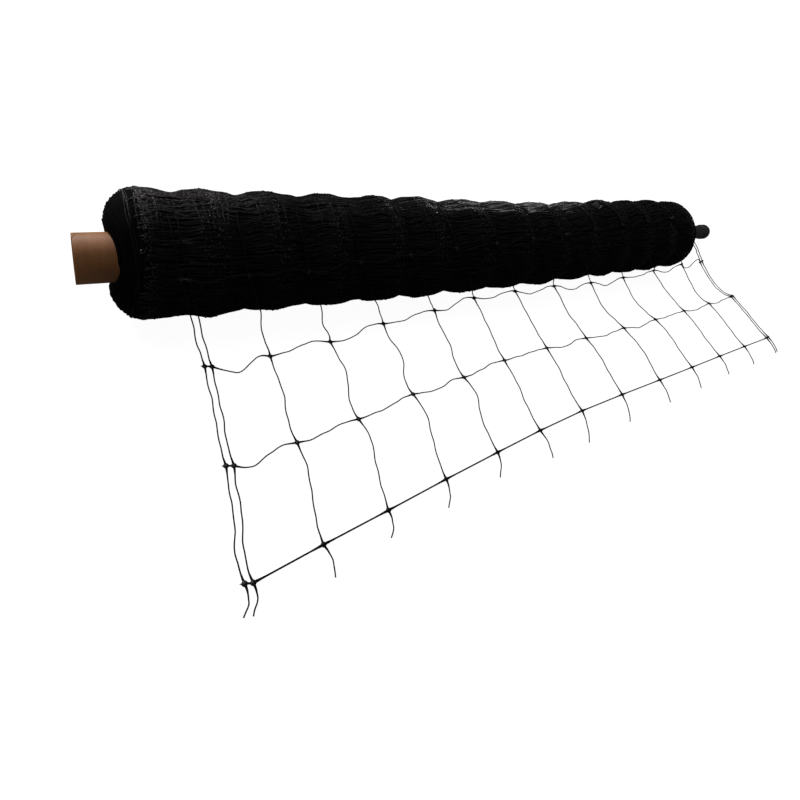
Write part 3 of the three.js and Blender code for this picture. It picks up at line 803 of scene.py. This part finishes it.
def make_wound_mass():
    """A flat grid is wrapped round the core, so that its edges meet and are merged."""
    rings = mass_rings()
    count = len(rings)
    bpy.ops.object.select_all(action="DESELECT")
    bpy.ops.mesh.primitive_grid_add(x_subdivisions=count, y_subdivisions=MASS_SIDES, size=2)
    piece = bpy.context.object
    flat = vertex_places(piece.data)
    ring = np.rint((flat[:, 0] + 1) / 2 * count).astype(int) % count
    step = np.rint((flat[:, 1] + 1) / 2 * MASS_SIDES).astype(int) % MASS_SIDES
    places = keep_above(rings[ring, step], MASS_FLOOR)
    piece.data.vertices.foreach_set("co", (places * MM).ravel())
    bpy.ops.object.mode_set(mode="EDIT")
    bpy.ops.mesh.select_all(action="SELECT")
    bpy.ops.mesh.remove_doubles(threshold=MERGE_DISTANCE * MM)
    bpy.ops.mesh.normals_make_consistent(inside=False)
    bpy.ops.object.mode_set(mode="OBJECT")
    bpy.ops.object.shade_smooth()
    return piece


def swing(swings, turn, phases):
    """Waves that close on themselves round the roll."""
    return sum(size * np.sin(count * turn + phase) for (size, count), phase in zip(swings, phases))


def make_wound_bands(rng):
    """Turns of the lengthwise strands, heaped where each winding stands proud."""
    turn = np.linspace(0, WHOLE_TURN, TURN_STEPS, endpoint=False)
    ends = dict(WOUND_ENDS)
    strands = []
    for winding in WINDINGS:
        for _ in range(BANDS_PER_WINDING):
            *phases, lift_phase = rng.uniform(0, WHOLE_TURN, len(BAND_SWINGS) + 1)
            aside = np.clip(rng.normal(0, BAND_SCATTER), -BAND_REACH, BAND_REACH)
            x = winding.at + aside + swing(BAND_SWINGS, turn, phases)
            lift = rng.uniform(*BAND_LIFT_RANGE) + swing(BAND_LIFT_SWINGS, turn, [lift_phase])
            points = wound_points(x, turn, lift)
            if winding in ends:
                reach = ends[winding].side * (x - winding.at)
                points = edge_points(winding, ends[winding], reach, turn, lift)
            strands.append((points, rng.uniform(*BAND_THICKNESS_RANGE)))
    return strand_mesh(strands, WOUND_STRAND, closed=True)


def make_wound_edges(rng):
    """Turns of strand that show on the two wound ends, closest where the double edge strands lie."""
    turn = np.linspace(0, WHOLE_TURN, TURN_STEPS, endpoint=False)
    strands = []
    for winding, end in WOUND_ENDS:
        spread = np.linspace(0, EDGE_LOOP_REACH, EDGE_LOOPS)
        heaped = rng.normal(*EDGE_HEAP, EDGE_LOOPS)
        for reach in np.concatenate([spread, heaped]):
            *phases, lift_phase = rng.uniform(0, WHOLE_TURN, len(EDGE_SWINGS) + 1)
            lift = rng.uniform(*EDGE_LIFT_RANGE) + swing(EDGE_LIFT_SWINGS, turn, [lift_phase])
            points = edge_points(winding, end, reach + swing(EDGE_SWINGS, turn, phases), turn, lift)
            strands.append((points, rng.uniform(*EDGE_THICKNESS_RANGE)))
    return strand_mesh(strands, WOUND_STRAND, closed=True)


def make_wound_bars(rng):
    """Thick edge bars with their two knots, round both ends and along the top layer's short edge."""
    bar = BarPoint(*np.array(WOUND_BAR).T)
    slant = np.linspace(1, -1, len(WOUND_BAR))
    short_bars, every = SHORT_EDGE_BARS
    strands = []
    for winding, end in WOUND_ENDS:
        for index, angle in enumerate(rng.uniform(0, WHOLE_TURN, EDGE_BARS)):
            outer = np.clip(rng.normal(*BAR_REACH), *BAR_REACH_RANGE)
            if end is NEAR_END and index % every < short_bars:
                outer = rng.normal(*SHORT_EDGE_REACH)
            turned = angle + rng.normal(0, BAR_TURN) * slant
            lift = rng.uniform(*BAR_LIFT_RANGE) + bar.lift
            points = edge_points(winding, end, outer - bar.back, turned, lift)
            strands.append((keep_above(points, WOUND_STRAND), bar.thickness))
    return strand_mesh(strands, WOUND_STRAND)


def wound_row_paths(rng):
    """Crosswise strands of the top layers, knot to knot along the roll, rippled by their slack."""
    t = np.linspace(0, 1, ROW_STEPS_PER_WINDING, endpoint=False)
    paths = []
    for row in range(WOUND_ROWS):
        start = WHOLE_TURN * (row + rng.uniform(-ROW_JITTER, ROW_JITTER)) / WOUND_ROWS
        drift = np.cumsum(rng.normal(0, ROW_DRIFT, len(WINDINGS)))
        drift -= np.linspace(0, drift[-1], len(WINDINGS))
        knots_x = CRESTS.at + rng.normal(0, ROW_KNOT_SCATTER, len(WINDINGS))
        knots_x[0] = FIRST.at + abs(rng.normal(0, END_KNOT_SCATTER))
        knots_x[-1] = LAST.at - abs(rng.normal(0, END_KNOT_SCATTER))
        lift = rng.uniform(*ROW_LIFT_RANGE)
        jitter = rng.normal(0, RIPPLE_JITTER)
        xs, angles = [], []
        for k in range(len(WINDINGS) - 1):
            belly, ess = rng.normal(0, ROW_BEND)
            slack = belly * np.sin(np.pi * t) + ess * np.sin(WHOLE_TURN * t)
            xs.append(knots_x[k] + t * (knots_x[k + 1] - knots_x[k]))
            angles.append(start + drift[k] + t * (drift[k + 1] - drift[k]) + slack)
        x = np.append(np.concatenate(xs), knots_x[-1])
        angle = np.append(np.concatenate(angles), start + drift[-1])
        phase = RIPPLE_SHIFT * start + wave_height(RIPPLE_WANDER, x, start) + jitter
        ripple = ROW_RIPPLE * (1 - RIPPLE_SWELL.height + wave_height(RIPPLE_SWELL, x, start))
        angle = angle + ripple / ROLL_RADIUS * np.sin(WHOLE_TURN * x / ROW_RIPPLE_LENGTH + phase)
        paths.append((x, angle, lift))
    return paths


def make_wound_rows(paths):
    strands = [(wound_points(x, angle, lift), ROW_THICKNESS) for x, angle, lift in paths]
    return strand_mesh(strands, WOUND_STRAND)


def make_wound_knots(paths):
    at_knot = slice(0, None, ROW_STEPS_PER_WINDING)
    places, outs = [], []
    for x, angle, lift in paths:
        places.append(wound_points(x[at_knot], angle[at_knot], lift + WOUND_KNOT_RAISED))
        outs.append(np.stack([np.zeros_like(x), -np.cos(angle), np.sin(angle)], axis=1)[at_knot])
    places = keep_above(np.concatenate(places), WOUND_KNOT[2])
    return knot_mesh(places, np.concatenate(outs), (1.0, 0.0, 0.0), WOUND_KNOT, 1)


def make_wound_strays(rng):
    """Slack lengths that lie across the others and dip under them at both ends."""
    t = np.linspace(0, 1, STRAY_POINTS)
    belly, ess = np.sin(np.pi * t), np.sin(WHOLE_TURN * t)
    strands = []
    for _ in range(STRAY_STRANDS):
        start = rng.uniform(FIRST.at + STRAY_CLEAR[0], LAST.at - STRAY_CLEAR[1])
        x = start + t * rng.uniform(*STRAY_LENGTH_RANGE)
        angle = rng.uniform(0, WHOLE_TURN) + rng.normal(0, STRAY_TURN) * t
        angle = angle + rng.normal(0, STRAY_BEND) * belly + rng.normal(0, STRAY_BEND) * ess
        lift = rng.uniform(*STRAY_RISE_RANGE) * belly ** STRAY_ROUNDING - STRAY_SINK
        strands.append((wound_points(x, angle, lift), ROW_THICKNESS))
    return strand_mesh(strands, WOUND_STRAND)


# Loose net

def lay_radius(x, angle):
    """Lay of a strand on the roll: it bears on the proudest winding within its reach."""
    seat = min(x, LAST.at) + np.array([-CREST_REACH, 0.0, CREST_REACH])
    proudest = float(np.max(winding_radius(seat) + unevenness(LUMPS, seat, angle)))
    return proudest + NET_CLEARANCE + FLOOR_HEIGHT


def on_roll(x, angle, lift=0.0):
    return Vector(around_axis(float(x), angle, lay_radius(x, angle) + lift))


def row_knot(column, row):
    return [
        on_roll(column.x0, math.radians(column.rise)),
        Vector((column.x1, column.y1, column.z1)),
        Vector((column.x2, column.y2, FLOOR_HEIGHT)),
        Vector((column.x3, column.y3, FLOOR_HEIGHT)),
    ][row]


def bend(t, *sizes):
    """A belly, an S, a double S and a kink, or the first of these, each of its own size."""
    return sum(size * math.sin(count * math.pi * t) for count, size in enumerate(sizes, 1))


def shares_of(steps):
    """Shares of the way from 0 up to the last step before 1."""
    return [step / steps for step in range(steps)]


def lift_angle(column):
    """Angle where a straight line from row 1 touches the roll."""
    radius = lay_radius(column.x1, 0)
    front = float(bow(column.x1)) - column.y1
    drop = column.z1 - float(axis_height(column.x1))
    distance = math.hypot(front, drop)
    return math.atan2(drop, front) + math.acos(min(radius / distance, 1))


def falling_points(column, bends):
    """A tail on the roll above row 0, then down the roll and clear of it to row 1."""
    start = math.radians(column.rise)
    lift = min(lift_angle(column), start - LEAST_ARC)
    knot = row_knot(column, 1)
    arc = (start - lift) * lay_radius(column.x0, lift)
    share = arc / (arc + (on_roll(column.x1, lift) - knot).length)
    points = []
    for t in shares_of(TAIL_STEPS):
        up = 1 - t
        x = column.x0 - TAIL_DRIFT * up * (2 - up)
        points.append(on_roll(x, start + TAIL_ANGLE * up, -TAIL_SINK * up * up))
    for t in shares_of(math.ceil((start - lift) / ARC_STEP)) + [1]:
        x = column.x0 + share * t * (column.x1 - column.x0)
        points.append(on_roll(x, start + t * (lift - start)))
    leaving = points[-1].copy()
    for t in shares_of(FALL_STEPS)[1:]:
        point = leaving.lerp(knot, t)
        point.y -= LANDING_BELLY * t * math.sin(math.pi * t)
        point.x += bend(t, bends.fall, bends.fall_ess, 0, bends.kink)
        points.append(point)
    return points


def floor_points(column, bends):
    """From row 1 down to the floor, on to row 3 and to the curled cut end."""
    one, two, three = (row_knot(column, row) for row in (1, 2, 3))
    points = []
    for t in shares_of(SPAN_STEPS):
        point = one.lerp(two, t)
        point.x += bend(t, bends.belly1, bends.ess1, bends.double1)
        point.z = max(FLOOR_HEIGHT, column.z1 * (1 - t) ** 2)
        points.append(point)
    for t in shares_of(SPAN_STEPS):
        point = two.lerp(three, t)
        point.x += bend(t, bends.belly2, bends.ess2, bends.double2)
        points.append(point)
    for t in shares_of(TIP_STEPS) + [1]:
        curl = TIP_CURL * math.sin(math.pi * t)
        points.append(three + Vector((bends.tip_x * t + curl, bends.tip_y * t, 0)))
    return points


def row_bends(mesh, row):
    """The last row is drawn straight."""
    bends = ROW_BENDS[mesh]
    return [
        (bends.belly0, bends.ess0),
        (bends.belly1, bends.ess1, bends.double1),
        (bends.belly2, bends.ess2, bends.double2),
        (),
    ][row]


def row_points(row):
    """A crosswise strand, knot to knot. Where it hangs, its slack goes down as well as forward."""
    points = []
    for mesh, (here, after) in enumerate(zip(COLUMNS, COLUMNS[1:])):
        one, two = row_knot(here, row), row_knot(after, row)
        for t in shares_of(ROW_STEPS):
            slack = bend(t, *row_bends(mesh, row))
            if row == 0:
                angle = math.radians(here.rise + t * (after.rise - here.rise))
                points.append(on_roll(here.x0 + t * (after.x0 - here.x0), angle - slack / ROLL_RADIUS))
                continue
            point = one.lerp(two, t)
            hang = min(max(point.z / HANG_HEIGHT, 0), 1)
            point.y -= slack * (1 - HANG_FORWARD * hang)
            point.z = max(FLOOR_HEIGHT, point.z - slack * HANG_DOWN * hang)
            points.append(point)
    points.append(row_knot(COLUMNS[FAR_COLUMN], row))
    return points


def drawn_strand(points, knots, drawn, kink_axis, kink_phase):
    """An extruded strand is drawn thin between knots and swells into them. It lies on the floor.

    It keeps small kinks from lying wound, along the given axis.
    """
    points = np.array([tuple(p) for p in points])
    knots = np.array([tuple(k) for k in knots])
    nearest = np.min(np.linalg.norm(points[:, None, :] - knots[None], axis=2), axis=1)
    shares = drawn * (1 + KNOT_SWELL * np.exp(-(nearest / KNOT_REACH) ** 2))
    steps = np.arange(len(points))
    kinks = sum(kink.size * np.sin(kink.step * steps + kink.shift * kink_phase) for kink in KINKS)
    away = 1 - np.exp(-(nearest / KINK_FREE) ** 2)
    points += np.outer(kinks * away, kink_axis)
    lies = points[:, 2] < FLOOR_HEIGHT + FLOOR_TOUCH
    points[:, 2] = np.where(lies, shares * STRAND / 2, points[:, 2])
    return points, shares


def lengthwise_strand(rng, index, shift):
    """A column's strand and its knots. The shift sets the outer strand of an edge pair beside it."""
    column, bends = COLUMNS[index], COLUMN_BENDS[index]
    points = [p + shift for p in falling_points(column, bends) + floor_points(column, bends)]
    knots = [row_knot(column, row) + shift for row in range(ROWS)]
    sideways = (1, 0, 0)
    phase = rng.uniform(0, WHOLE_TURN)
    return drawn_strand(points, knots, COLUMN_DRAWN, sideways, phase), knots


def crosswise_strand(rng, row):
    knots = [row_knot(column, row) for column in COLUMNS]
    drawn = TAUT_ROW_DRAWN if row == TAUT_ROW else ROW_DRAWN
    kink_axis = (0, 1, 0) if row in KINKED_ROWS else (0, 0, 0)
    phase = rng.uniform(0, WHOLE_TURN)
    return drawn_strand(row_points(row), knots, drawn, kink_axis, phase)


def edge_bar(row, index, shift):
    """A thick bar that starts along the row, joins the knots of an edge pair and ends in a point."""
    inner = row_knot(COLUMNS[index], row)
    outer = inner + shift
    next_to_knot = row_points(row)[1 if index == 0 else -2]
    root = (next_to_knot - inner).normalized() * BAR_TIP
    tip = shift.normalized() * BAR_TIP
    bar = [
        inner + root,
        inner + root * 0.5,
        inner,
        inner.lerp(outer, 0.5),
        outer,
        outer + tip * 0.5,
        outer + tip,
    ]
    rests = [share * STRAND / 2 for share in BAR_SHAPE]
    raised = [Vector((p.x, p.y, max(p.z + BAR_RAISED, rest))) for p, rest in zip(bar, rests)]
    return raised, BAR_SHAPE


def outward(point):
    """Which way a knot faces: away from the roll where it is high, and up on the floor."""
    away = Vector((0, point.y, point.z - float(axis_height(point.x)))).normalized()
    height = float(np.interp(point.z, DRAPE_HEIGHTS, (0, 1)))
    return (away * height + Vector((0, 0, 1)) * (1 - height)).normalized()


def make_loose_net(rng):
    """Smooth round strands with swollen knots, edge pairs and their thick pointed bars."""
    strands, bars, knots = [], [], []
    for index in range(len(COLUMNS)):
        strand, crossings = lengthwise_strand(rng, index, Vector((0, 0, 0)))
        strands.append(strand)
        knots += crossings
    for row in range(ROWS):
        strands.append(crosswise_strand(rng, row))
    for index, side in ((0, -1), (FAR_COLUMN, 1)):
        shift = Vector((side * SELVEDGE_SHIFT[0], SELVEDGE_SHIFT[1], 0))
        strand, crossings = lengthwise_strand(rng, index, shift)
        strands.append(strand)
        knots += crossings
        bars += [edge_bar(row, index, shift) for row in range(ROWS)]
    strand_piece = strand_mesh(strands, STRAND, LOOSE_ROUNDNESS, smooth_steps=STRAND_SMOOTHING)
    bar_piece = strand_mesh(bars, STRAND, LOOSE_ROUNDNESS, smooth_steps=BAR_SMOOTHING)
    places = keep_above(np.array([tuple(k) for k in knots]), LOOSE_KNOT[2])
    outs = np.array([tuple(outward(k)) for k in knots])
    knot_piece = knot_mesh(places, outs, ROW_DIRECTION, LOOSE_KNOT, 2, LOOSE_KNOT_POINTED)
    return strand_piece, join([bar_piece, knot_piece])


# Core and plug

def set_on_axis(piece):
    """Turned pieces stand on their axis at first, and are then laid along the core's tilted axis."""
    piece.matrix_world = (
        Matrix.Translation((0, 0, CORE_HEIGHT * MM))
        @ Matrix.Rotation(math.atan(CORE_TILT) + QUARTER_TURN, 4, "Y")
    )
    activate(piece)
    bpy.ops.object.transform_apply(location=True, rotation=True, scale=True)


def make_core():
    """A tube with a card wall, its cut edges slightly softened."""
    bpy.ops.object.select_all(action="DESELECT")
    bpy.ops.mesh.primitive_cylinder_add(
        vertices=TURNED_SIDES,
        radius=CORE_RADIUS * MM,
        depth=(CORE_END - CORE_START) * MM,
        end_fill_type="NOTHING",
        location=(0, 0, (CORE_START + CORE_END) / 2 * MM),
    )
    piece = bpy.context.object
    bpy.ops.object.transform_apply(location=True, rotation=True, scale=True)
    wall = piece.modifiers.new("Card wall", "SOLIDIFY")
    wall.thickness = CORE_WALL * MM
    wall.offset = -1
    edge = piece.modifiers.new("Soft cut edge", "BEVEL")
    edge.width = CORE_CUT_EDGE * MM
    edge.segments = 3
    edge.limit_method = "ANGLE"
    apply_modifiers(piece)
    bpy.ops.object.shade_smooth_by_angle(angle=SMOOTH_ANGLE)
    set_on_axis(piece)
    return piece


def plug_profile():
    """Radius and place of each ring, from the plug's inner face to the bottom of the shaft's hole."""
    fit = CORE_RADIUS - CORE_WALL - SEAT_GAP
    rim_start = CORE_END + SEAT_GAP
    rim_end = rim_start + RIM_LENGTH
    return [
        (fit - PLUG_CHAMFER, PLUG_START),
        (fit, PLUG_START + PLUG_CHAMFER),
        (fit, rim_start),
        (PLUG_RIM - RIM_EDGE, rim_start),
        (PLUG_RIM, rim_start + RIM_EDGE),
        (PLUG_RIM, rim_end - RIM_EDGE),
        (PLUG_RIM - RIM_EDGE, rim_end),
        *[(radius, rim_end + past) for radius, past in PLUG_FILLET],
        *[(radius, SHAFT_END - short) for radius, short in SHAFT_COLLAR + SHAFT_HOLE],
    ]


def make_plug():
    """The plug is turned ring by ring from its inner face to the end of its shaft."""
    profile = plug_profile()
    bpy.ops.object.select_all(action="DESELECT")
    bpy.ops.mesh.primitive_circle_add(
        vertices=TURNED_SIDES,
        radius=profile[0][0] * MM,
        fill_type="NGON",
        location=(0, 0, profile[0][1] * MM),
    )
    piece = bpy.context.object
    bpy.ops.object.transform_apply(location=True, rotation=True, scale=True)
    bpy.ops.object.mode_set(mode="EDIT")
    bpy.ops.mesh.select_all(action="SELECT")
    for (radius, place), (next_radius, next_place) in zip(profile, profile[1:]):
        bpy.ops.mesh.extrude_region_move(
            TRANSFORM_OT_translate={"value": (0, 0, (next_place - place) * MM)}
        )
        scale = next_radius / radius
        bpy.ops.transform.resize(value=(scale, scale, 1))
    bpy.ops.mesh.select_all(action="SELECT")
    bpy.ops.mesh.normals_make_consistent(inside=False)
    bpy.ops.object.mode_set(mode="OBJECT")
    bpy.ops.object.shade_smooth_by_angle(angle=SMOOTH_ANGLE)
    set_on_axis(piece)
    return piece


# Stage

def make_floor():
    bpy.ops.object.select_all(action="DESELECT")
    bpy.ops.mesh.primitive_plane_add(size=FLOOR_SIZE, location=(0, 0, 0))
    floor = bpy.context.object
    floor.name = "floor"
    floor.data.materials.append(floor_material())


def aim_light(light, name, target):
    light.name = name
    light.rotation_euler = (Vector(target) - light.location).to_track_quat("-Z", "Y").to_euler()


def add_overhead_light():
    """A broad even light from far off, so that the whole floor is lit alike."""
    bpy.ops.object.light_add(type="SUN", location=SUN_PLACE)
    light = bpy.context.object
    light.data.energy = SUN_ENERGY
    light.data.angle = SUN_ANGLE
    aim_light(light, "overhead", (0, 0, 0))


def add_soft_box(name, box):
    bpy.ops.object.light_add(type="AREA", location=box.place)
    light = bpy.context.object
    light.data.energy = box.energy
    light.data.shape = "RECTANGLE"
    light.data.size, light.data.size_y = box.size
    light.data.spread = box.spread
    light.visible_camera = False
    aim_light(light, name, box.target)


def make_world():
    """White to the camera, and a faint even light on the rest."""
    world = bpy.data.worlds.new("Soft studio")
    bpy.context.scene.world = world
    world.use_nodes = True
    tree = world.node_tree
    faint = tree.nodes["Background"]
    feed(tree, faint, {"Color": WHITE, "Strength": 0.08})
    paper = add_node(tree, "ShaderNodeBackground", "White paper", (0, -200), {"Color": WHITE})
    surface = seen_or_not(tree, paper.outputs["Background"], faint.outputs["Background"])
    feed(tree, tree.nodes["World Output"], {"Surface": surface})


def light_scene():
    make_world()
    add_overhead_light()
    add_soft_box("back", BACK_LIGHT)
    add_soft_box("core", CORE_LIGHT)
    bpy.context.scene.view_settings.view_transform = "Standard"
    bpy.context.scene.view_settings.look = "None"


def add_camera():
    data = bpy.data.cameras.new("photo_camera")
    data.lens = CAMERA_LENS
    data.sensor_width = 36
    data.shift_x, data.shift_y = CAMERA_SHIFT
    data.clip_end = 100
    camera = bpy.data.objects.new("photo_camera", data)
    bpy.context.scene.collection.objects.link(camera)
    camera.matrix_world = (
        Matrix.Translation(CAMERA_PLACE)
        @ Matrix.Rotation(-CAMERA_TURN, 4, "Z")
        @ Matrix.Rotation(QUARTER_TURN - CAMERA_TILT, 4, "X")
        @ Matrix.Rotation(CAMERA_ROLL, 4, "Z")
    )
    bpy.context.scene.camera = camera


add_camera()
light_scene()
make_floor()

HANDLING_MARKS = handling_marks_group()
ROLL_TOP = roll_top_group()
# Pale grey for the dusted top of the roll, and for the sheen painted there in place of light.
ROLL_DUST_AND_SHEEN = (0.50, 0.46, 0.45)
LOOSE_BLACK = plastic_material(
    "Black loose strand",
    dark=(0.004, 0.004, 0.0045),
    bloomed=(0.01, 0.01, 0.011),
    rough=(0.34, 0.5),
    specular=0.11,
)
LOOSE_KNOT_BLACK = plastic_material(
    "Black loose knot",
    dark=(0.005, 0.005, 0.0055),
    bloomed=(0.013, 0.013, 0.014),
    rough=(0.2, 0.34),
    specular=0.5,
)
KNOT_BLACK = plastic_material(
    "Black knot",
    dark=(0.005, 0.0047, 0.0055),
    bloomed=(0.015, 0.0143, 0.0155),
    rough=(0.26, 0.42),
    specular=0.27,
    dust_and_sheen=ROLL_DUST_AND_SHEEN,
)
WOUND_BLACK = plastic_material(
    "Black wound strand",
    dark=(0.0038, 0.0036, 0.0052),
    bloomed=(0.009, 0.0084, 0.0112),
    rough=(0.46, 0.64),
    specular=0.18,
    dust_and_sheen=ROLL_DUST_AND_SHEEN,
)
# A darker copy of the wound strands' black, as painted shade, for the mass under the strands and the loops
# on the wound ends.
SHADE_DARKENED_BLACK = plastic_material(
    "Wound net in shadow",
    dark=(0.002, 0.002, 0.0025),
    bloomed=(0.005, 0.005, 0.0055),
    rough=(0.6, 0.8),
    specular=0.03,
    scales=(35, 700),
    relief=0.6,
)
PLUG_GREY = plastic_material(
    "Dark moulded plug",
    dark=(0.022, 0.022, 0.024),
    bloomed=(0.05, 0.05, 0.053),
    rough=(0.4, 0.55),
    specular=0.45,
    scales=(25, 1200),
    relief=0.25,
)
CORE_CARD = card_material()

rng = np.random.default_rng(SEED)
wound_rows = wound_row_paths(rng)
upper_rows, lower_rows = wound_rows[:WOUND_ROWS // 2], wound_rows[WOUND_ROWS // 2:]

wound_mass = finish_piece(make_wound_mass(), "wound_mass", SHADE_DARKENED_BLACK)
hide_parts("roll")
finish_piece(make_wound_bands(rng), "wound_bands", WOUND_BLACK)
finish_piece(make_wound_edges(rng), "wound_edges", SHADE_DARKENED_BLACK)
finish_piece(make_wound_bars(rng), "wound_bars", KNOT_BLACK)
finish_piece(make_wound_rows(upper_rows), "wound_rows_upper", WOUND_BLACK)
finish_piece(make_wound_rows(lower_rows), "wound_rows_lower", WOUND_BLACK)
finish_piece(make_wound_knots(wound_rows), "wound_knots", KNOT_BLACK)
finish_piece(make_wound_strays(rng), "wound_strays", WOUND_BLACK)

loose_strands, loose_knots = make_loose_net(rng)
finish_piece(loose_strands, "loose_strands", LOOSE_BLACK)
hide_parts("loose_net")
finish_piece(loose_knots, "loose_knots", LOOSE_KNOT_BLACK)

core_tube = finish_piece(make_core(), "core_tube", CORE_CARD)
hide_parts("core")

plug = finish_piece(make_plug(), "plug_turned", PLUG_GREY)
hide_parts("core_plug")
